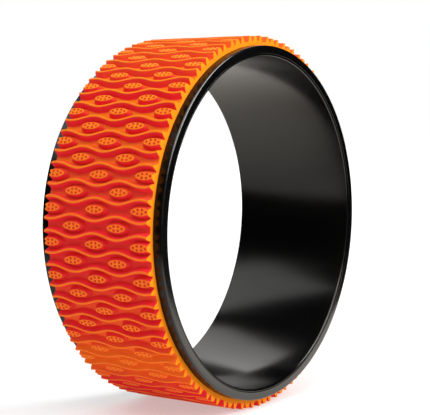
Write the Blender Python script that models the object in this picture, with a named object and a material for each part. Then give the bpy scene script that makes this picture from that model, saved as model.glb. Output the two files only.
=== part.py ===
"""Back roller wheel: a rigid hoop with a bore liner, and a moulded massage pad bonded round it.

The wheel's axis is Y and its centre is the origin, so it stands upright on the pad, with +Z up.
Lengths are in metres. Angles round the wheel start at -X and rise towards +Z.
"""

from math import ceil, cos, floor, pi, radians, sin, tau

import bmesh
import bpy
from mathutils import Vector
from mathutils.geometry import delaunay_2d_cdt

# Hoop: the black tube that carries the load.
HOOP_OUTER_RADIUS = 0.1562
HOOP_WALL = 0.0071
HOOP_WIDTH = 0.1256
HOOP_CORNER = 0.0015

# Liner: a thin tube inside the hoop, its ends all but level with the hoop's end faces.
LINER_WALL = 0.0022
LINER_SETBACK = 0.0003
LINER_CORNER = 0.0016

# Film: the double-sided adhesive layer between the hoop and the pad.
FILM_THICKNESS = 0.0003
FILM_MARGIN = 0.0010

# Pad: a moulded strip, a little nearer to the hoop's -Y end face.
PAD_WIDTH = 0.1069
PAD_SHIFT = -0.0010
PAD_BASE = 0.0024
RIDGE_HEIGHT = 0.0055

# Ridges: they run across the pad, and neighbours wave in opposite directions.
RIDGE_PITCH_WANTED = 0.0144
RIDGE_CREST = 0.0026
RIDGE_WALL_RUN = 0.0019
WAIST_GAP = 0.0034
WAVE_PERIOD = 0.0465
WAVE_CORNER = 0.0048

# Nubs: flat-topped almond shapes, one in each wide cell between two ridges.
NUB_TRENCH = 0.0007
NUB_SPACING = 0.0217
NUB_WALL_RUN = 0.0019
NUB_TIP_RUN = 0.0029

# Where the pattern starts round the wheel, and how the pieces sit together.
PATTERN_START = radians(7)
BOND_GAP = 0.0003
PRESS_GAP = 0.0003
SHORTEST_SPAN = 0.0005
WELD = 0.000001

# Sizes that follow from those above.
LINER_OUTER_RADIUS = HOOP_OUTER_RADIUS - HOOP_WALL - PRESS_GAP
FILM_INNER_RADIUS = HOOP_OUTER_RADIUS + BOND_GAP
PAD_INNER_RADIUS = FILM_INNER_RADIUS + FILM_THICKNESS + BOND_GAP
TREAD_RADIUS = PAD_INNER_RADIUS + PAD_BASE + RIDGE_HEIGHT
ROW_PAIRS = round(pi * TREAD_RADIUS / RIDGE_PITCH_WANTED)
RIDGE_PITCH = pi * TREAD_RADIUS / ROW_PAIRS
RIDGE_BASE = RIDGE_CREST + 2 * RIDGE_WALL_RUN
WAVE_SWING = (RIDGE_PITCH - RIDGE_BASE - WAIST_GAP) / 2
RING_SEGMENTS = 4 * ROW_PAIRS
PAD_NEAR_EDGE = PAD_SHIFT - PAD_WIDTH / 2
PAD_FAR_EDGE = PAD_SHIFT + PAD_WIDTH / 2
NUB_HALF_LENGTH = (WAVE_PERIOD - NUB_SPACING) / 2
NUB_HALF_WIDTH = (RIDGE_PITCH - RIDGE_BASE) / 2 + WAVE_SWING - NUB_TRENCH
NUB_TOP_HALF_LENGTH = NUB_HALF_LENGTH - NUB_TIP_RUN
NUB_TOP_HALF_WIDTH = max(NUB_HALF_WIDTH - NUB_WALL_RUN, NUB_HALF_WIDTH / 3)


def clear_scene():
    for thing in list(bpy.data.objects):
        bpy.data.objects.remove(thing)


def plastic(name, colour, roughness):
    material = bpy.data.materials.new(name)
    material.use_nodes = True
    shader = material.node_tree.nodes["Principled BSDF"]
    shader.inputs["Base Color"].default_value = (*colour, 1.0)
    shader.inputs["Roughness"].default_value = roughness
    shader.inputs["Metallic"].default_value = 0.0
    return material


def add_object(name, shape, material, smooth_below):
    """Turn a bmesh into a named object, shaded smooth below the given angle."""
    bmesh.ops.recalc_face_normals(shape, faces=shape.faces)
    mesh = bpy.data.meshes.new(name)
    shape.to_mesh(mesh)
    shape.free()
    mesh.materials.append(material)
    mesh.shade_smooth()
    mesh.set_sharp_from_angle(angle=smooth_below)
    thing = bpy.data.objects.new(name, mesh)
    bpy.context.collection.objects.link(thing)
    return thing


def around(angle, radius, across):
    """A point at an angle round the wheel, a radius from its axis and a place across its width."""
    return Vector((-radius * cos(angle), across, radius * sin(angle)))


def turned_ring(profile):
    """Spin a closed profile of (radius, place across the width) points round the wheel's axis."""
    shape = bmesh.new()
    points = [shape.verts.new(around(PATTERN_START, radius, across)) for radius, across in profile]
    sides = [shape.edges.new((points[i - 1], points[i])) for i in range(len(points))]
    bmesh.ops.spin(shape, geom=points + sides, cent=(0, 0, 0), axis=(0, 1, 0), angle=tau,
                   steps=RING_SEGMENTS, use_merge=True)
    bmesh.ops.remove_doubles(shape, verts=shape.verts, dist=WELD)
    return shape


def make_outer_hoop():
    """The load-bearing tube: square inside, with its outer corners rounded over in two facets."""
    half = HOOP_WIDTH / 2
    inner = HOOP_OUTER_RADIUS - HOOP_WALL
    eased = [(HOOP_OUTER_RADIUS - HOOP_CORNER * (1 - cos(turn)), half - HOOP_CORNER * (1 - sin(turn)))
             for turn in (0, pi / 4, pi / 2)]
    far_side = [*eased, (inner, half)]
    near_side = [(radius, -across) for radius, across in reversed(far_side)]
    black = plastic("black_hoop_plastic", (0.012, 0.012, 0.013), 0.32)
    return add_object("outer_hoop", turned_ring(far_side + near_side), black, radians(40))


def make_bore_liner():
    """The thin tube pressed into the hoop: its inner edges are chamfered."""
    half = HOOP_WIDTH / 2 - LINER_SETBACK
    bore = LINER_OUTER_RADIUS - LINER_WALL
    far_side = [(LINER_OUTER_RADIUS, half), (bore + LINER_CORNER, half), (bore, half - LINER_CORNER)]
    near_side = [(radius, -across) for radius, across in reversed(far_side)]
    black = plastic("black_liner_plastic", (0.016, 0.016, 0.018), 0.28)
    return add_object("bore_liner", turned_ring(far_side + near_side), black, radians(30))


def make_adhesive_film():
    """The bonding layer under the pad, cut a little narrower than the pad."""
    near = PAD_NEAR_EDGE + FILM_MARGIN
    far = PAD_FAR_EDGE - FILM_MARGIN
    outer = FILM_INNER_RADIUS + FILM_THICKNESS
    profile = [(outer, near), (outer, far), (FILM_INNER_RADIUS, far), (FILM_INNER_RADIUS, near)]
    clear_amber = plastic("adhesive", (0.55, 0.42, 0.20), 0.45)
    return add_object("adhesive_film", turned_ring(profile), clear_amber, radians(30))


def wave(across):
    """How far a ridge's middle line swings at a place across the pad: straight runs between corners."""
    half_period = WAVE_PERIOD / 2
    phase = abs((across + half_period) % WAVE_PERIOD - half_period)
    ramp = half_period - 2 * WAVE_CORNER
    share = min(max((phase - WAVE_CORNER) / ramp, 0), 1)
    return WAVE_SWING * (1 - 2 * share)


def stations_across():
    """The places across the pad where a ridge's line bends, with the pad's two edges."""
    half_period = WAVE_PERIOD / 2
    stations = []
    for count in range(floor(PAD_NEAR_EDGE / half_period), ceil(PAD_FAR_EDGE / half_period) + 1):
        stations += [count * half_period - WAVE_CORNER, count * half_period + WAVE_CORNER]
    kept = [place for place in stations
            if PAD_NEAR_EDGE + SHORTEST_SPAN < place < PAD_FAR_EDGE - SHORTEST_SPAN]
    return [PAD_NEAR_EDGE, *kept, PAD_FAR_EDGE]


def trimmed(outline):
    """Cut a convex outline off at the pad's two edges."""
    for edge, side in ((PAD_NEAR_EDGE, 1), (PAD_FAR_EDGE, -1)):
        kept = []
        for (x0, y0), (x1, y1) in zip(outline, outline[1:] + outline[:1]):
            if side * (y0 - edge) >= 0:
                kept.append((x0, y0))
            if (y0 - edge) * (y1 - edge) < 0:
                kept.append((x0 + (x1 - x0) * (edge - y0) / (y1 - y0), edge))
        outline = kept
    return outline


def almond(half_width, half_length, shoulder, along, across):
    """A pointed oval round a middle point, with its long axis across the pad."""
    outline = [(half_width, -shoulder), (half_width, shoulder), (0, half_length),
               (-half_width, shoulder), (-half_width, -shoulder), (0, -half_length)]
    return [(along + x, across + y) for x, y in outline]


def nub_places(row):
    """The middles of the nubs in a row: every other row is set over by half a period."""
    offset = WAVE_PERIOD / 2 if row % 2 else 0.0
    first = floor((PAD_NEAR_EDGE - NUB_HALF_LENGTH - offset) / WAVE_PERIOD)
    last = ceil((PAD_FAR_EDGE + NUB_HALF_LENGTH - offset) / WAVE_PERIOD)
    for count in range(first, last + 1):
        place = offset + count * WAVE_PERIOD
        if PAD_NEAR_EDGE - NUB_TOP_HALF_LENGTH < place < PAD_FAR_EDGE + NUB_TOP_HALF_LENGTH:
            yield place


def ridge_line(ridge, offset):
    """One line along a ridge. Ridge 0 lies past row 0, and swings away from that row's middle nub."""
    direction = -1 if ridge % 2 else 1
    return [((ridge + 0.5) * RIDGE_PITCH + direction * wave(across) + offset, across)
            for across in stations_across()]


def pattern_tile():
    """Two rows of the pad laid flat, as plan points with heights, and the triangles between them.

    The tile starts at the first crest line of ridge -1 and ends at that of ridge 1, so that
    copies of it meet point to point.
    """
    top = PAD_BASE + RIDGE_HEIGHT
    crest = RIDGE_CREST / 2
    base = RIDGE_BASE / 2
    points = []
    heights = []
    lines = []

    def add_line(outline, height, closed=False):
        start = len(points)
        points.extend(Vector(point) for point in outline)
        heights.extend([height] * len(outline))
        numbers = list(range(start, len(points)))
        lines.extend(zip(numbers, numbers[1:]))
        if closed:
            lines.append((numbers[-1], numbers[0]))
        return numbers

    first = add_line(ridge_line(-1, -crest), top)
    add_line(ridge_line(-1, crest), top)
    add_line(ridge_line(-1, base), PAD_BASE)
    add_line(ridge_line(0, -base), PAD_BASE)
    add_line(ridge_line(0, -crest), top)
    add_line(ridge_line(0, crest), top)
    add_line(ridge_line(0, base), PAD_BASE)
    add_line(ridge_line(1, -base), PAD_BASE)
    last = add_line(ridge_line(1, -crest), top)

    top_shoulder = WAVE_CORNER * NUB_TOP_HALF_LENGTH / NUB_HALF_LENGTH
    for row in (0, 1):
        along = row * RIDGE_PITCH
        for across in nub_places(row):
            foot = almond(NUB_HALF_WIDTH, NUB_HALF_LENGTH, WAVE_CORNER, along, across)
            cap = almond(NUB_TOP_HALF_WIDTH, NUB_TOP_HALF_LENGTH, top_shoulder, along, across)
            add_line(trimmed(foot), PAD_BASE, closed=True)
            add_line(trimmed(cap), top, closed=True)

    def at_edge(edge):
        return sorted((n for n, point in enumerate(points) if abs(point.y - edge) < WELD),
                      key=lambda n: points[n].x)

    near = at_edge(PAD_NEAR_EDGE)
    far = at_edge(PAD_FAR_EDGE)
    rim = first + far[1:-1] + last[::-1] + near[-2:0:-1]
    found, _, triangles, sources, _, _ = delaunay_2d_cdt(points, lines, [rim], 1, WELD)
    levels = [heights[source[0]] for source in sources]
    return found, levels, triangles


def make_massage_pad():
    """The moulded strip: the flat tile copied round the wheel, then closed underneath."""
    found, levels, triangles = pattern_tile()
    shape = bmesh.new()
    for pair in range(ROW_PAIRS):
        shift = 2 * pair * RIDGE_PITCH
        corners = [shape.verts.new(around(PATTERN_START + (point.x + shift) / TREAD_RADIUS,
                                          PAD_INNER_RADIUS + level, point.y))
                   for point, level in zip(found, levels)]
        for triangle in triangles:
            shape.faces.new([corners[n] for n in triangle])
    bmesh.ops.remove_doubles(shape, verts=shape.verts, dist=WELD)

    rings = {}
    for edge in (PAD_NEAR_EDGE, PAD_FAR_EDGE):
        rings[edge] = [shape.verts.new(around(PATTERN_START + tau * n / RING_SEGMENTS,
                                              PAD_INNER_RADIUS, edge))
                       for n in range(RING_SEGMENTS)]
        close_side(shape, rings[edge])
    for n in range(RING_SEGMENTS):
        near, far = rings[PAD_NEAR_EDGE], rings[PAD_FAR_EDGE]
        shape.faces.new((near[n - 1], near[n], far[n], far[n - 1]))
    orange = plastic("orange_elastomer", (0.80, 0.13, 0.02), 0.50)
    return add_object("massage_pad", shape, orange, radians(15))


def close_side(shape, ring):
    """Fill one side of the pad, from its patterned outline down to the ring underneath."""
    across = ring[0].co.y
    outline = [edge for edge in shape.edges
               if edge.is_boundary and all(abs(v.co.y - across) < WELD for v in edge.verts)]
    base_sides = [shape.edges.new((ring[n - 1], ring[n])) for n in range(len(ring))]
    bmesh.ops.triangle_fill(shape, use_beauty=True, edges=outline + base_sides)


clear_scene()
make_outer_hoop()
make_bore_liner()
make_adhesive_film()
make_massage_pad()
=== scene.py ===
from math import atan2, copysign, cos, hypot, pi, radians, sin, sqrt, tan, tau

import bmesh
import bpy
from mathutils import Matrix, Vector


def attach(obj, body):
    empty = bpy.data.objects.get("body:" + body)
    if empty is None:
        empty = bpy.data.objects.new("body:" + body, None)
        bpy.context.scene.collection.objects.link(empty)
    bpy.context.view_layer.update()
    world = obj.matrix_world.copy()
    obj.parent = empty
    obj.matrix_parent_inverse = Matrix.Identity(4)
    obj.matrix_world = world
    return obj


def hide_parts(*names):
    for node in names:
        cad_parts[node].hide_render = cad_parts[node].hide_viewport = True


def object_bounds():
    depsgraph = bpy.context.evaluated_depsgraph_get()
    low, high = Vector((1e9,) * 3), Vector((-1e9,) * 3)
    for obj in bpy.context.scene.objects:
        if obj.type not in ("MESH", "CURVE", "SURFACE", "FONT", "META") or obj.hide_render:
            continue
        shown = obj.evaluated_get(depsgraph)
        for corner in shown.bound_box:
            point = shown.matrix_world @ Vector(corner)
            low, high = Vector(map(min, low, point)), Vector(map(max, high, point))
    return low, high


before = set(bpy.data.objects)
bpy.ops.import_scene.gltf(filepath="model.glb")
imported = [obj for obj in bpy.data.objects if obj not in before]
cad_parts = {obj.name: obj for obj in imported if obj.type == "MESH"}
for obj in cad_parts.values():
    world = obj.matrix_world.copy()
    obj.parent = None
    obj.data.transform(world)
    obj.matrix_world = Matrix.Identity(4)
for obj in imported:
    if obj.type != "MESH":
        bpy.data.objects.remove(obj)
cad_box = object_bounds()


# Studio: a white floor that carries on into a white surround, and large soft lamps. The wheel
# stands on the floor on its tread. The camera looks at it from in front of one rim, a little
# above its middle, through a long lens.
CAMERA_BEARING = radians(-55.13)
CAMERA_RISE = radians(4.95)
CAMERA_DISTANCE = 1.1478
CAMERA_AIM = Vector((0.0035, -0.0034, 0.0112))
CAMERA_LENS = 105.34
FLOOR_RADIUS = 8.0
FLOOR_LEVEL = cad_box[0].z
FLOOR_WHITE = (0.62, 0.62, 0.62, 1)
FLOOR_FADE_REACH = (0.4, 2.5)
FLOOR_FADE_GLOW = (0.40, 1.0)
FLOOR_MIRROR_REACH = (-0.2, 0.2)
FLOOR_MIRROR_GLOW = 0.53
FLOOR_BOUNCE = 0.31
WARM_WHITE = (1.0, 0.91, 0.74, 1)
SURROUND_LIGHT = 0.38
CURTAIN_BLACK = (0.003, 0.003, 0.003, 1)
LAMP_DISTANCE = 1.5
COLOUR_INPUTS = (6, 7)
COLOUR_RESULT = 2


def from_bearing(bearing, rise, distance):
    """Give a point seen from the wheel's centre: bearing 0 lies towards -Y, a right angle towards +X."""
    return Vector((sin(bearing) * cos(rise), -cos(bearing) * cos(rise), sin(rise))) * distance


def add_node(tree, kind, **sockets):
    """Add a shader node and set its sockets, given by name with _ for a space."""
    node = tree.nodes.new(kind)
    for name, value in sockets.items():
        node.inputs[name.replace("_", " ")].default_value = value
    return node


def add_maths(tree, operation, first, second=None):
    """Add a Math node: each input is a number or the socket that feeds it."""
    node = tree.nodes.new("ShaderNodeMath")
    node.operation = operation
    for socket, value in zip(node.inputs, (first, second)):
        if isinstance(value, bpy.types.NodeSocket):
            tree.links.new(value, socket)
        elif value is not None:
            socket.default_value = value
    return node.outputs[0]


def blend_colours(tree, share, first, second):
    """Add a colour Mix node: each colour is a value or the socket that feeds it.

    Its sockets share their names with those for other kinds of data, so they go by number.
    """
    node = tree.nodes.new("ShaderNodeMix")
    node.data_type = "RGBA"
    tree.links.new(share, node.inputs["Factor"])
    for number, value in zip(COLOUR_INPUTS, (first, second)):
        socket = node.inputs[number]
        if isinstance(value, bpy.types.NodeSocket):
            tree.links.new(value, socket)
        else:
            socket.default_value = value
    return node.outputs[COLOUR_RESULT]


def add_softbox(name, bearing, rise, distance, width, height, power, colour=(1, 1, 1)):
    """Add a rectangular lamp that faces the wheel's centre, with its angles in degrees."""
    place = from_bearing(radians(bearing), radians(rise), distance)
    aim = (-place).to_track_quat("-Z", "Y").to_euler()
    bpy.ops.object.light_add(type="AREA", location=place, rotation=aim)
    lamp = bpy.context.object
    lamp.name = name
    lamp.data.shape = "RECTANGLE"
    lamp.data.size = width
    lamp.data.size_y = height
    lamp.data.energy = power
    lamp.data.color = colour


stand = from_bearing(CAMERA_BEARING, CAMERA_RISE, CAMERA_DISTANCE)
look = (CAMERA_AIM - stand).to_track_quat("-Z", "Y").to_euler()
bpy.ops.object.camera_add(location=stand, rotation=look)
bpy.context.object.data.lens = CAMERA_LENS
bpy.context.scene.camera = bpy.context.object
bpy.context.scene.view_settings.view_transform = "Standard"

# The floor fades to the surround's white as it goes away from the wheel. In reflections it is a
# warm white on the +X side and dark on the other, and it throws soft light back up at the wheel.
bpy.ops.mesh.primitive_circle_add(vertices=96, radius=FLOOR_RADIUS, fill_type="NGON",
                                  location=(0, 0, FLOOR_LEVEL))
studio_floor = bpy.context.object
studio_floor.name = "studio_floor"
floor_paint = bpy.data.materials.new("white_floor_paint")
floor_paint.use_nodes = True
tree = floor_paint.node_tree
shader = tree.nodes["Principled BSDF"]
shader.inputs["Base Color"].default_value = FLOOR_WHITE
shader.inputs["Roughness"].default_value = 0.9
shader.inputs["Specular IOR Level"].default_value = 0.1
place = add_node(tree, "ShaderNodeTexCoord")
reach = add_node(tree, "ShaderNodeVectorMath")
reach.operation = "LENGTH"
tree.links.new(place.outputs["Object"], reach.inputs[0])
fade = add_node(tree, "ShaderNodeMapRange", From_Min=FLOOR_FADE_REACH[0], From_Max=FLOOR_FADE_REACH[1],
                To_Min=FLOOR_FADE_GLOW[0], To_Max=FLOOR_FADE_GLOW[1])
tree.links.new(reach.outputs["Value"], fade.inputs["Value"])
floor_place = add_node(tree, "ShaderNodeSeparateXYZ")
tree.links.new(place.outputs["Object"], floor_place.inputs["Vector"])
mirror = add_node(tree, "ShaderNodeMapRange", From_Min=FLOOR_MIRROR_REACH[0],
                  From_Max=FLOOR_MIRROR_REACH[1], To_Min=0.0, To_Max=FLOOR_MIRROR_GLOW)
tree.links.new(floor_place.outputs["X"], mirror.inputs["Value"])
path = add_node(tree, "ShaderNodeLightPath")
glow = add_maths(tree, "ADD",
                 add_maths(tree, "MULTIPLY", path.outputs["Is Camera Ray"], fade.outputs["Result"]),
                 add_maths(tree, "MULTIPLY", path.outputs["Is Glossy Ray"], mirror.outputs["Result"]))
glow = add_maths(tree, "ADD", glow,
                 add_maths(tree, "MULTIPLY", path.outputs["Is Diffuse Ray"], FLOOR_BOUNCE))
tint = blend_colours(tree, path.outputs["Is Glossy Ray"], (1, 1, 1, 1), WARM_WHITE)
tree.links.new(tint, shader.inputs["Emission Color"])
tree.links.new(glow, shader.inputs["Emission Strength"])
studio_floor.data.materials.append(floor_paint)

# The surround is white where the camera or a reflection meets it, and lights the wheel only dimly.
world = bpy.data.worlds.new("white_surround")
bpy.context.scene.world = world
world.use_nodes = True
tree = world.node_tree
path = add_node(tree, "ShaderNodeLightPath")
seen = add_maths(tree, "MAXIMUM", path.outputs["Is Camera Ray"], path.outputs["Is Glossy Ray"])
seen = add_maths(tree, "MAXIMUM", seen, path.outputs["Is Transmission Ray"])
lit = add_maths(tree, "MULTIPLY", add_maths(tree, "SUBTRACT", 1.0, seen), SURROUND_LIGHT)
surround = tree.nodes["Background"]
surround.inputs["Color"].default_value = (1, 1, 1, 1)
tree.links.new(add_maths(tree, "ADD", seen, lit), surround.inputs["Strength"])

# A low dark curtain rings the wheel, and a tall one hangs behind the lamps. Only reflections meet
# them: they give the black plastic its black.
curtain_cloth = bpy.data.materials.new("black_curtain_cloth")
curtain_cloth.use_nodes = True
shader = curtain_cloth.node_tree.nodes["Principled BSDF"]
shader.inputs["Base Color"].default_value = CURTAIN_BLACK
shader.inputs["Roughness"].default_value = 1.0
shader.inputs["Specular IOR Level"].default_value = 0.0
for name, radius, drop in (("low_dark_curtain", 0.62, 0.41), ("tall_dark_curtain", 1.9, 5.4)):
    bpy.ops.mesh.primitive_cylinder_add(vertices=96, radius=radius, depth=drop,
                                        end_fill_type="NOTHING",
                                        location=(0, 0, FLOOR_LEVEL + drop / 2))
    dark_curtain = bpy.context.object
    dark_curtain.name = name
    dark_curtain.data.materials.append(curtain_cloth)
    dark_curtain.visible_camera = False
    dark_curtain.visible_diffuse = False
    dark_curtain.visible_shadow = False

add_softbox("overhead_softbox", bearing=-60, rise=58, distance=LAMP_DISTANCE,
            width=1.0, height=1.0, power=10.8)
add_softbox("right_softbox", bearing=10, rise=31, distance=1.6, width=0.9, height=1.0, power=27)
add_softbox("back_left_softbox", bearing=-153, rise=39, distance=LAMP_DISTANCE,
            width=1.0, height=0.55, power=2.7, colour=(0.93, 0.96, 1.0))
add_softbox("back_right_softbox", bearing=137, rise=37, distance=LAMP_DISTANCE,
            width=1.2, height=0.95, power=6.8, colour=(1.0, 0.99, 0.98))

# Two small lamps light no matt surface: they only draw bright lines along edges of glossy pieces.
add_softbox("left_edge_light", bearing=-27, rise=23, distance=LAMP_DISTANCE,
            width=0.35, height=0.8, power=8.5)
bpy.context.object.visible_diffuse = False
add_softbox("high_edge_light", bearing=32, rise=52, distance=LAMP_DISTANCE,
            width=0.5, height=0.45, power=7.0)
bpy.context.object.visible_diffuse = False


# Outer hoop: the stiff black plastic tube that carries the load. It is formed as plain pipe, and
# its ends are faced square with the outer edge rounded over and the inner edge just broken.
HOOP_OUTER_RADIUS = 0.1562
HOOP_INNER_RADIUS = 0.1491
HOOP_HALF_WIDTH = 0.0628
HOOP_OUTER_EASE = 0.0015
HOOP_INNER_EASE = 0.0003
RING_STEPS = 288
EASE_SEGMENTS = 8
WELD_DISTANCE = 0.000002
HOOP_BLACK = (0.0015, 0.0015, 0.0016, 1)
HOOP_SHEEN = (1.0, 0.97, 0.91, 1)
WALL_LEAN = 0.3


def deselect_all():
    """Deselect every object."""
    for thing in bpy.context.selected_objects:
        thing.select_set(False)


def select_points(mesh_object, wanted):
    """Select, in edit mode, the vertices for which wanted(vertex) is true, and nothing else."""
    bpy.ops.mesh.select_all(action="DESELECT")
    shape = bmesh.from_edit_mesh(mesh_object.data)
    for vertex in shape.verts:
        vertex.select_set(wanted(vertex))
    shape.select_flush_mode()
    bmesh.update_edit_mesh(mesh_object.data)


def turned_ring(name, inner, outer, half_width, inner_ease, outer_ease):
    """Draw a ring's section as a plane, ease its corners, and spin it round the wheel's axis."""
    middle = (inner + outer) / 2
    deselect_all()
    bpy.ops.mesh.primitive_plane_add(size=1, location=(0, 0, middle), rotation=(0, pi / 2, 0))
    ring = bpy.context.object
    ring.name = name
    ring.scale = (outer - inner, 2 * half_width, 1)
    bpy.ops.object.transform_apply(location=True, rotation=True, scale=True)
    bpy.ops.object.mode_set(mode="EDIT")
    select_points(ring, lambda vertex: vertex.co.z > middle)
    bpy.ops.mesh.bevel(offset=outer_ease, segments=EASE_SEGMENTS, affect="VERTICES")
    select_points(ring, lambda vertex: vertex.co.z < middle)
    bpy.ops.mesh.bevel(offset=inner_ease, segments=EASE_SEGMENTS, affect="VERTICES")
    bpy.ops.mesh.select_all(action="SELECT")
    bpy.ops.mesh.delete(type="ONLY_FACE")
    bpy.ops.mesh.select_all(action="SELECT")
    bpy.ops.mesh.spin(steps=RING_STEPS, angle=tau, center=(0, 0, 0), axis=(0, 1, 0))
    bpy.ops.mesh.select_all(action="SELECT")
    bpy.ops.mesh.remove_doubles(threshold=WELD_DISTANCE)
    bpy.ops.mesh.normals_make_consistent(inside=False)
    bpy.ops.object.mode_set(mode="OBJECT")
    bpy.ops.object.shade_smooth_by_angle(angle=radians(35))
    return ring


def build_pipe_surface():
    """Build a node group for pipe: uneven haze as a roughness, and faint ripples as a height."""
    group = bpy.data.node_groups.new("extruded_pipe_surface", "ShaderNodeTree")
    for way, names in (("INPUT", ("Roughness", "Haze")), ("OUTPUT", ("Roughness", "Ripple"))):
        for name in names:
            group.interface.new_socket(name, in_out=way, socket_type="NodeSocketFloat")
    given = group.nodes.new("NodeGroupInput")
    result = group.nodes.new("NodeGroupOutput")
    place = add_node(group, "ShaderNodeTexCoord")
    stretch = add_node(group, "ShaderNodeVectorMath")
    stretch.operation = "MULTIPLY"
    stretch.inputs[1].default_value = (1, 0.35, 1)
    group.links.new(place.outputs["Object"], stretch.inputs[0])
    broad = add_node(group, "ShaderNodeTexNoise", Scale=14.0, Detail=5.0, Roughness=0.6)
    fine = add_node(group, "ShaderNodeTexNoise", Scale=420.0, Detail=3.0, Roughness=0.5)
    group.links.new(stretch.outputs["Vector"], broad.inputs["Vector"])
    group.links.new(place.outputs["Object"], fine.inputs["Vector"])
    streaks = add_node(group, "ShaderNodeMapRange", From_Min=0.3, From_Max=0.75)
    group.links.new(broad.outputs["Fac"], streaks.inputs["Value"])
    haze = add_maths(group, "MULTIPLY", streaks.outputs["Result"], given.outputs["Haze"])
    roughness = add_maths(group, "ADD", haze, given.outputs["Roughness"])
    group.links.new(roughness, result.inputs["Roughness"])
    group.links.new(fine.outputs["Fac"], result.inputs["Ripple"])
    return group


pipe_surface = build_pipe_surface()


def pipe_plastic(name, colour, roughness, haze, gloss, sheen):
    """Make a black pipe plastic: a clear gloss over faint ripples, dulled unevenly by haze."""
    material = bpy.data.materials.new(name)
    material.use_nodes = True
    tree = material.node_tree
    shader = tree.nodes["Principled BSDF"]
    shader.inputs["Base Color"].default_value = colour
    shader.inputs["Specular IOR Level"].default_value = gloss
    shader.inputs["Specular Tint"].default_value = sheen
    surface = tree.nodes.new("ShaderNodeGroup")
    surface.node_tree = pipe_surface
    surface.inputs["Roughness"].default_value = roughness
    surface.inputs["Haze"].default_value = haze
    tree.links.new(surface.outputs["Roughness"], shader.inputs["Roughness"])
    bump = add_node(tree, "ShaderNodeBump", Strength=0.12, Distance=0.0002)
    tree.links.new(surface.outputs["Ripple"], bump.inputs["Height"])
    tree.links.new(bump.outputs["Normal"], shader.inputs["Normal"])
    return material


outer_hoop = turned_ring("hoop_tube", HOOP_INNER_RADIUS, HOOP_OUTER_RADIUS, HOOP_HALF_WIDTH,
                         HOOP_INNER_EASE, HOOP_OUTER_EASE)
outer_hoop.data.materials.append(
    pipe_plastic("gloss_black_pipe_end", HOOP_BLACK, roughness=0.14, haze=0.08, gloss=0.8,
                 sheen=HOOP_SHEEN))
outer_hoop.data.materials.append(
    pipe_plastic("satin_black_pipe_wall", HOOP_BLACK, roughness=0.22, haze=0.06, gloss=0.36,
                 sheen=HOOP_SHEEN))

# Faces that lean less than WALL_LEAN along the axis are the tube's walls, and the rest its ends.
for face in outer_hoop.data.polygons:
    face.material_index = 1 if abs(face.normal.y) < WALL_LEAN else 0
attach(outer_hoop, "root")
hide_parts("outer_hoop")


# Bore liner: a thin black plastic tube pressed into the hoop, all but level with its ends, with its
# inner edges rounded over. Its surface is smooth, so the bore shines.
LINER_OUTER_RADIUS = 0.1488
LINER_INNER_RADIUS = 0.1466
LINER_HALF_WIDTH = 0.0625
LINER_INNER_EASE = 0.0019
LINER_OUTER_EASE = 0.0002
LINER_BLACK = (0.0015, 0.0015, 0.0015, 1)
LINER_SHEEN = (1.0, 0.96, 0.88, 1)

bore_liner = turned_ring("liner_tube", LINER_INNER_RADIUS, LINER_OUTER_RADIUS, LINER_HALF_WIDTH,
                         LINER_INNER_EASE, LINER_OUTER_EASE)
bore_liner.data.materials.append(
    pipe_plastic("polished_black_liner", LINER_BLACK, roughness=0.13, haze=0.12, gloss=0.52,
                 sheen=LINER_SHEEN))
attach(bore_liner, "root")
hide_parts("bore_liner")


# Adhesive film: the thin sheet of amber glue that holds the pad to the hoop. Its edges lie just
# inside the pad's, so only a sliver shows in the seam, a little uneven where it was pressed.
FILM_AMBER = (0.20, 0.070, 0.020, 1)
FILM_PALE = (0.30, 0.110, 0.030, 1)

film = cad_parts["adhesive_film"]
pressed_glue = bpy.data.materials.new("pressed_amber_glue")
pressed_glue.use_nodes = True
tree = pressed_glue.node_tree
shader = tree.nodes["Principled BSDF"]
shader.inputs["Roughness"].default_value = 0.35
place = add_node(tree, "ShaderNodeTexCoord")
patches = add_node(tree, "ShaderNodeTexNoise", Scale=90.0, Detail=4.0, Roughness=0.6)
tree.links.new(place.outputs["Object"], patches.inputs["Vector"])
ramp = add_node(tree, "ShaderNodeValToRGB")
ramp.color_ramp.elements[0].position = 0.35
ramp.color_ramp.elements[0].color = FILM_AMBER
ramp.color_ramp.elements[1].position = 0.65
ramp.color_ramp.elements[1].color = FILM_PALE
tree.links.new(patches.outputs["Fac"], ramp.inputs["Fac"])
tree.links.new(ramp.outputs["Color"], shader.inputs["Base Color"])
bump = add_node(tree, "ShaderNodeBump", Strength=0.3, Distance=0.0002)
tree.links.new(patches.outputs["Fac"], bump.inputs["Height"])
tree.links.new(bump.outputs["Normal"], shader.inputs["Normal"])
film.data.materials.clear()
film.data.materials.append(pressed_glue)


# Massage pad: a strip of orange elastomer, moulded flat in one piece with its ridges and nubs,
# wrapped round the hoop and glued. Neighbouring ridges wave in opposite directions, and each
# wide cell between two of them holds an oval nub with six dimples in its top.
PAD_SEAT_RADIUS = 0.1563
PAD_INNER_RADIUS = 0.1571
GLUE_MARGIN = 0.0008
PAD_BASE = 0.0024
RIDGE_HEIGHT = 0.0055
TREAD_RADIUS = PAD_INNER_RADIUS + PAD_BASE + RIDGE_HEIGHT
PAD_NEAR_EDGE = -0.05445
PAD_FAR_EDGE = 0.05245
PATTERN_START = radians(7)
ROW_PAIRS = 36
ROW_PITCH = pi * TREAD_RADIUS / ROW_PAIRS
WAVE_PERIOD = 0.0465
WAVE_SWING = 0.0023
RIDGE_CREST = 0.0018
RIDGE_BASE = 0.0064
CREST_EASE = 0.0006
FLOOR_EASE = 0.0009
TRENCH_EASE_SHARE = 0.45
LINES_ACROSS = 38
NUB_HEIGHT = 0.0048
NUB_TOP = (0.0033, 0.0092)
NUB_FOOT = (0.0056, 0.0122)
NUB_TOP_EASE = 0.0003
NUB_FOOT_EASE = 0.0003
NUB_SIDES = 28
DIMPLE_RADIUS = 0.00125
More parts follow.
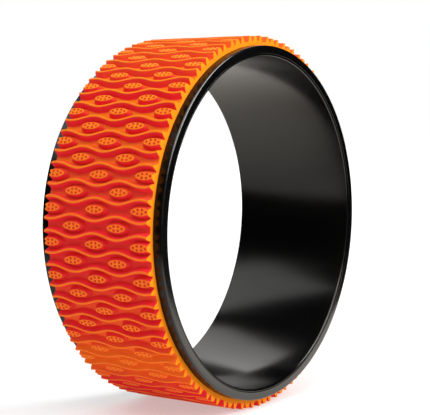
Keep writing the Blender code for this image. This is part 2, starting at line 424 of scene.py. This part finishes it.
DIMPLE_DEPTH = 0.0011
DIMPLE_STEPS = ((0.7, 0.6), (0.3, 0.4))
DIMPLE_SIDES = 8
DIMPLE_PLACES = [(0, -0.0060), (0, 0.0060), (-0.0016, -0.0022), (0.0016, -0.0022),
                 (-0.0016, 0.0022), (0.0016, 0.0022)]
HALF_PERIOD = WAVE_PERIOD / 2
WALL_POINTS = 6


def eased_wall(run, drop, top_ease, foot_ease):
    """Draw a wall that leans out by run as it drops, as offsets from its top corner and heights.

    Both corners are eased: each ease is how far the rounding reaches from the corner, and each
    rounding has a point at its start, its middle and its end, so the wall has WALL_POINTS points.
    """
    lean = atan2(run, drop)
    half_turn = (pi / 2 - lean) / 2
    bulge = (1 / cos(half_turn) - 1) / tan(half_turn)
    out = Vector((1, 0))
    down = Vector((sin(lean), -cos(lean)))
    top = Vector((0, drop))
    foot = Vector((run, 0))
    return [top - out * top_ease,
            top + (down - out).normalized() * bulge * top_ease,
            top + down * top_ease,
            foot - down * foot_ease,
            foot + (out - down).normalized() * bulge * foot_ease,
            foot + out * foot_ease]


def cell_side(row, across):
    """Draw one side of a row's cell at a place across the pad, from its ridge's crest to its floor.

    Each point is a distance from the row's middle line and a height over the floor.
    """
    from_nub = abs((across - row % 2 * HALF_PERIOD + HALF_PERIOD) % WAVE_PERIOD - HALF_PERIOD)
    half_cell = ROW_PITCH / 2 + WAVE_SWING * cos(tau * from_nub / WAVE_PERIOD)
    nub_side = NUB_FOOT[0] * sqrt(max(1 - (from_nub / NUB_FOOT[1]) ** 2, 0))
    trench = half_cell - RIDGE_BASE / 2 - nub_side
    wall = eased_wall((RIDGE_BASE - RIDGE_CREST) / 2, RIDGE_HEIGHT, CREST_EASE,
                      min(FLOOR_EASE, TRENCH_EASE_SHARE * trench))
    return [(half_cell - RIDGE_CREST / 2 - point.x, point.y) for point in wall]


def lay_ridge(name, lines):
    """Lay a grid along a ridge. Each of its lines is a cell's row, the side and a point's number."""
    deselect_all()
    bpy.ops.mesh.primitive_grid_add(x_subdivisions=len(lines) - 1, y_subdivisions=LINES_ACROSS,
                                    size=1)
    ridge = bpy.context.object
    ridge.name = name
    for vertex in ridge.data.vertices:
        row, side, number = lines[round((vertex.co.x + 0.5) * (len(lines) - 1))]
        across = PAD_NEAR_EDGE + (PAD_FAR_EDGE - PAD_NEAR_EDGE) * (vertex.co.y + 0.5)
        distance, level = cell_side(row, across)[number]
        vertex.co = (row * ROW_PITCH + side * distance, across, level)
    return ridge


def lower_line(old_size, new_size, drop, centre=(0, 0, 0)):
    """Extrude the selected outline, lower it, and bring it from its old size to the new one."""
    growth = (new_size[0] / old_size[0], new_size[1] / old_size[1], 1)
    bpy.ops.mesh.extrude_region_move(TRANSFORM_OT_translate={"value": (0, 0, -drop)})
    bpy.ops.transform.resize(value=growth, center_override=centre)


def make_nub():
    """Model one nub: an oval drawn at its top, carried down its wall, with dimples let in."""
    half_width, half_length = NUB_TOP
    outline = []
    for point in eased_wall(NUB_FOOT[0] - half_width, NUB_HEIGHT, NUB_TOP_EASE, NUB_FOOT_EASE):
        share = point.x / (NUB_FOOT[0] - half_width)
        lengthwise = share * (NUB_FOOT[1] - half_length) if share > 0 else point.x
        outline.append((half_width + point.x, half_length + lengthwise, point.y))
    deselect_all()
    bpy.ops.mesh.primitive_circle_add(vertices=NUB_SIDES, radius=1, location=(0, 0, NUB_HEIGHT))
    nub = bpy.context.object
    nub.name = "nub"
    nub.scale = (outline[0][0], outline[0][1], 1)
    bpy.ops.object.transform_apply(location=True, rotation=True, scale=True)
    bpy.ops.object.mode_set(mode="EDIT")
    bpy.ops.mesh.select_mode(type="VERT")
    bpy.ops.mesh.select_all(action="SELECT")
    for upper, lower in zip(outline, outline[1:]):
        lower_line(upper[:2], lower[:2], upper[2] - lower[2])
    for x, y in DIMPLE_PLACES:
        bpy.ops.mesh.primitive_circle_add(vertices=DIMPLE_SIDES, radius=DIMPLE_RADIUS,
                                          location=(x, y, NUB_HEIGHT))
        size = 1
        for new_size, depth_share in DIMPLE_STEPS:
            lower_line((size, size), (new_size, new_size), DIMPLE_DEPTH * depth_share, (x, y, 0))
            size = new_size
        bpy.ops.mesh.edge_face_add()
    select_points(nub, lambda vertex: vertex.co.z > NUB_HEIGHT - WELD_DISTANCE)
    bpy.ops.mesh.fill()
    bpy.ops.object.mode_set(mode="OBJECT")
    return nub


def copy_nub(nub, row, across):
    """Set a copy of the nub in its row, and cut it off where it would pass the pad's edges."""
    deselect_all()
    nub.select_set(True)
    bpy.context.view_layer.objects.active = nub
    bpy.ops.object.duplicate()
    copy = bpy.context.object
    copy.location = (row * ROW_PITCH, across, 0)
    bpy.ops.object.transform_apply(location=True, rotation=True, scale=True)
    bpy.ops.object.mode_set(mode="EDIT")
    for edge, outward in ((PAD_NEAR_EDGE, -1), (PAD_FAR_EDGE, 1)):
        if outward * (across - edge) > -NUB_FOOT[1] - NUB_FOOT_EASE:
            bpy.ops.mesh.select_all(action="SELECT")
            bpy.ops.mesh.bisect(plane_co=(0, edge, 0), plane_no=(0, outward, 0),
                                clear_outer=True, threshold=WELD_DISTANCE)
    bpy.ops.object.mode_set(mode="OBJECT")
    return copy


# One unit of the moulding, two rows long, is laid flat: the ridges' sides first, then the nubs.
left_sides = [[(row, -1, number) for number in range(WALL_POINTS)] for row in range(3)]
right_sides = [[(row, 1, number) for number in reversed(range(WALL_POINTS))] for row in range(2)]
unit_parts = [lay_ridge("first_ridge", left_sides[0]),
              lay_ridge("middle_ridge", right_sides[0] + left_sides[1]),
              lay_ridge("last_ridge", right_sides[1] + left_sides[2][:1])]
first_nub = make_nub()
for row, across in ((0, -WAVE_PERIOD), (0, 0), (0, WAVE_PERIOD), (1, -HALF_PERIOD), (1, HALF_PERIOD)):
    unit_parts.append(copy_nub(first_nub, row, across))
bpy.data.objects.remove(first_nub)
deselect_all()
for part in unit_parts:
    part.select_set(True)
bpy.context.view_layer.objects.active = unit_parts[0]
bpy.ops.object.join()
massage_pad = bpy.context.object
massage_pad.name = "moulded_pad"

# The floor between the ridges and the nubs is filled, up to a line along each edge of the pad.
bpy.ops.object.mode_set(mode="EDIT")
shape = bmesh.from_edit_mesh(massage_pad.data)
for edge in (PAD_NEAR_EDGE, PAD_FAR_EDGE):
    ends = [vertex for vertex in shape.verts
            if abs(vertex.co.y - edge) < WELD_DISTANCE and abs(vertex.co.z) < WELD_DISTANCE]
    ends.sort(key=lambda vertex: vertex.co.x)
    for first, second in zip(ends[::2], ends[1::2]):
        shape.edges.new((first, second))
bmesh.update_edit_mesh(massage_pad.data)
bpy.ops.mesh.select_mode(type="EDGE")
bpy.ops.mesh.select_all(action="DESELECT")
for line in shape.edges:
    on_floor = all(abs(vertex.co.z) < WELD_DISTANCE for vertex in line.verts)
    line.select_set(on_floor and len(line.link_faces) < 2)
bmesh.update_edit_mesh(massage_pad.data)
bpy.ops.mesh.fill()
bpy.ops.object.mode_set(mode="OBJECT")

# The flat unit is bent to the wheel's round, copied about the axis and joined up.
for vertex in massage_pad.data.vertices:
    turn = PATTERN_START + vertex.co.x / TREAD_RADIUS
    radius = PAD_INNER_RADIUS + PAD_BASE + vertex.co.z
    vertex.co = (-radius * cos(turn), vertex.co.y, radius * sin(turn))
bpy.ops.object.mode_set(mode="EDIT")
bpy.ops.mesh.select_mode(type="VERT")
bpy.ops.mesh.select_all(action="SELECT")
bpy.ops.mesh.spin(steps=ROW_PAIRS - 1, angle=tau * (ROW_PAIRS - 1) / ROW_PAIRS, dupli=True,
                  center=(0, 0, 0), axis=(0, 1, 0))
bpy.ops.mesh.select_all(action="SELECT")
bpy.ops.mesh.remove_doubles(threshold=WELD_DISTANCE)

# The two open sides are drawn down onto the hoop and turned in under the pad, as far as the glue
# that the underside lies on.
bpy.ops.mesh.select_all(action="DESELECT")
bpy.ops.mesh.select_non_manifold(use_wire=False, use_multi_face=False, use_non_contiguous=False,
                                 use_verts=False)
for new_radius, inward in ((PAD_SEAT_RADIUS, 0), (PAD_SEAT_RADIUS, GLUE_MARGIN), (PAD_INNER_RADIUS, 0)):
    bpy.ops.mesh.extrude_region_move()
    shape = bmesh.from_edit_mesh(massage_pad.data)
    for vertex in shape.verts:
        if vertex.select:
            radius = hypot(vertex.co.x, vertex.co.z)
            vertex.co.x *= new_radius / radius
            vertex.co.z *= new_radius / radius
            vertex.co.y -= copysign(inward, vertex.co.y)
    bmesh.update_edit_mesh(massage_pad.data)
bpy.ops.mesh.bridge_edge_loops()
bpy.ops.mesh.select_all(action="SELECT")
bpy.ops.mesh.normals_make_consistent(inside=False)
bpy.ops.object.mode_set(mode="OBJECT")
bpy.ops.object.shade_smooth_by_angle(angle=radians(40))

# The moulding is orange where it lies flat, on crests, nub tops and its two sides. Its flanks and floors
# are painted redder: painted shade, standing for light that has first bounced off more orange. Painted
# light turns them orange again where they face up in the upper half, near the crown and in a soft band
# low on each side, and on the floors beside that band. The two sides, and the tops towards the crown,
# are painted yellower still.
FLAT_ORANGE = (0.90, 0.180, 0.016, 1)
# Painted light: golder oranges for lit floors, and for crests and nub tops towards the crown.
FLOOR_PAINTED_LIGHT_GOLD = (0.86, 0.205, 0.009, 1)
CREST_PAINTED_LIGHT_GOLD = (0.88, 0.245, 0.009, 1)
# Painted light: the pad's two sides are painted a yellower orange than the flat tread.
END_ORANGE_PAINTED_LIGHT = (0.92, 0.25, 0.008, 1)
# Painted shade: the deep reds that flanks and floors take where no painted light falls.
FLANK_PAINTED_SHADE_RED = (0.82, 0.026, 0.034, 1)
FLOOR_PAINTED_SHADE_RED = (0.82, 0.040, 0.034, 1)
TOP_RADII = (TREAD_RADIUS - 0.0017, TREAD_RADIUS - 0.0009)
FLOOR_RADII = (TREAD_RADIUS - 0.0025, TREAD_RADIUS - 0.0045)
FLAT_FACINGS = (0.50, 0.92)
END_FACINGS = (0.85, 0.97)
# Where painted light from above falls: faces turned skywards, in the upper half of the wheel.
SKYWARD_FACINGS = (0.1, 0.6)
PAINTED_LIGHT_HEIGHTS = (0.0, 0.35)
# Heights of the painted golder light towards the top and of the painted crown light.
PAINTED_GOLD_HEIGHTS = (0.1, 0.8)
PAINTED_CROWN_LIGHT_HEIGHTS = (0.70, 1.0)
# Heights of the painted light band low on each side, and of the floors beside it.
PAINTED_BAND_TOP_HEIGHTS = (-0.54, -0.64)
PAINTED_BAND_FOOT_HEIGHTS = (-0.84, -0.72)
PAINTED_LOW_FLOOR_HEIGHTS = (-0.2, -0.5)
PAINTED_CROWN_LIGHT_SHARE = 0.55
PAINTED_BAND_SHARE = 0.88
PAINTED_LOW_FLOOR_SHARE = 0.55
PAINTED_LIGHT_FLANK_SHARE = 0.35


def add_mask(tree, value, limits):
    """Add a mask that goes from 0 to 1 as a value goes from the first limit to the second."""
    mask = add_node(tree, "ShaderNodeMapRange", From_Min=limits[0], From_Max=limits[1])
    tree.links.new(value, mask.inputs["Value"])
    return mask.outputs["Result"]


elastomer = bpy.data.materials.new("orange_elastomer")
elastomer.use_nodes = True
tree = elastomer.node_tree
shader = tree.nodes["Principled BSDF"]
shader.inputs["Roughness"].default_value = 0.55
shader.inputs["Specular IOR Level"].default_value = 0.03
shader.inputs["Subsurface Weight"].default_value = 0.1
shader.inputs["Subsurface Radius"].default_value = (1.0, 0.2, 0.05)
shader.inputs["Subsurface Scale"].default_value = 0.002

# A point's radius, how squarely its surface faces away from the axis, and its height as a share of
# the radius, from -1 at the floor to 1 at the crown.
place = add_node(tree, "ShaderNodeTexCoord")
from_axis = add_node(tree, "ShaderNodeVectorMath")
from_axis.operation = "MULTIPLY"
from_axis.inputs[1].default_value = (1, 0, 1)
tree.links.new(place.outputs["Object"], from_axis.inputs[0])
radius = add_node(tree, "ShaderNodeVectorMath")
radius.operation = "LENGTH"
tree.links.new(from_axis.outputs["Vector"], radius.inputs[0])
outward = add_node(tree, "ShaderNodeVectorMath")
outward.operation = "NORMALIZE"
tree.links.new(from_axis.outputs["Vector"], outward.inputs[0])
facing = add_node(tree, "ShaderNodeVectorMath")
facing.operation = "DOT_PRODUCT"
tree.links.new(place.outputs["Normal"], facing.inputs[0])
tree.links.new(outward.outputs["Vector"], facing.inputs[1])
normal = add_node(tree, "ShaderNodeSeparateXYZ")
tree.links.new(place.outputs["Normal"], normal.inputs["Vector"])
direction = add_node(tree, "ShaderNodeSeparateXYZ")
tree.links.new(outward.outputs["Vector"], direction.inputs["Vector"])
height = direction.outputs["Z"]
side = add_maths(tree, "ABSOLUTE", normal.outputs["Y"])

at_top = add_mask(tree, radius.outputs["Value"], TOP_RADII)
at_floor = add_mask(tree, radius.outputs["Value"], FLOOR_RADII)
flat = add_mask(tree, facing.outputs["Value"], FLAT_FACINGS)
end_face = add_mask(tree, side, END_FACINGS)
# Painted light from above: upward-facing surfaces in the upper half.
lit = add_maths(tree, "MULTIPLY", add_mask(tree, normal.outputs["Z"], SKYWARD_FACINGS),
                add_mask(tree, height, PAINTED_LIGHT_HEIGHTS))
# Painted light from low at each side: a soft band, and the floors beside it.
above_foot = add_mask(tree, height, PAINTED_BAND_FOOT_HEIGHTS)
painted_light_band = add_maths(tree, "MULTIPLY", add_mask(tree, height, PAINTED_BAND_TOP_HEIGHTS), above_foot)
painted_light_band = add_maths(tree, "MULTIPLY", painted_light_band, PAINTED_BAND_SHARE)
painted_low_floor_light = add_maths(tree, "MULTIPLY", add_mask(tree, height, PAINTED_LOW_FLOOR_HEIGHTS), above_foot)
painted_low_floor_light = add_maths(tree, "MULTIPLY", painted_low_floor_light, PAINTED_LOW_FLOOR_SHARE)
# Painted light at the crown.
painted_crown_light = add_maths(tree, "MULTIPLY", add_mask(tree, height, PAINTED_CROWN_LIGHT_HEIGHTS), PAINTED_CROWN_LIGHT_SHARE)
painted_band_or_crown_light = add_maths(tree, "MAXIMUM", painted_light_band, painted_crown_light)

# Painted light: colours turn golder towards the top.
painted_gold_share = add_mask(tree, height, PAINTED_GOLD_HEIGHTS)
painted_light_colour = blend_colours(tree, painted_gold_share, FLAT_ORANGE, FLOOR_PAINTED_LIGHT_GOLD)
top_colour = blend_colours(tree, painted_gold_share, FLAT_ORANGE, CREST_PAINTED_LIGHT_GOLD)
# Floors are painted shade red, and orange where painted light falls on them.
painted_floor_light = add_maths(tree, "MAXIMUM", add_maths(tree, "MULTIPLY", lit, at_floor), painted_band_or_crown_light)
painted_floor_light = add_maths(tree, "MAXIMUM", painted_floor_light, painted_low_floor_light)
floor_colour = blend_colours(tree, painted_floor_light, FLOOR_PAINTED_SHADE_RED, painted_light_colour)
level_colour = blend_colours(tree, at_top, floor_colour, top_colour)
# Flanks are painted shade red, and orange in the painted light: at part strength from above, fully at
# the crown and in the low band.
painted_flank_light = add_maths(tree, "MAXIMUM", add_maths(tree, "MULTIPLY", lit, PAINTED_LIGHT_FLANK_SHARE),
                        painted_band_or_crown_light)
flank_colour = blend_colours(tree, painted_flank_light, FLANK_PAINTED_SHADE_RED, painted_light_colour)
tread_colour = blend_colours(tree, flat, flank_colour, level_colour)
# The two sides are painted yellower, as painted light.
colour = blend_colours(tree, end_face, tread_colour, END_ORANGE_PAINTED_LIGHT)
tree.links.new(colour, shader.inputs["Base Color"])
grain = add_node(tree, "ShaderNodeTexNoise", Scale=1400.0, Detail=3.0, Roughness=0.6)
tree.links.new(place.outputs["Object"], grain.inputs["Vector"])
bump = add_node(tree, "ShaderNodeBump", Strength=0.15, Distance=0.0002)
tree.links.new(grain.outputs["Fac"], bump.inputs["Height"])
tree.links.new(bump.outputs["Normal"], shader.inputs["Normal"])
massage_pad.data.materials.append(elastomer)
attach(massage_pad, "root")
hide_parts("massage_pad")
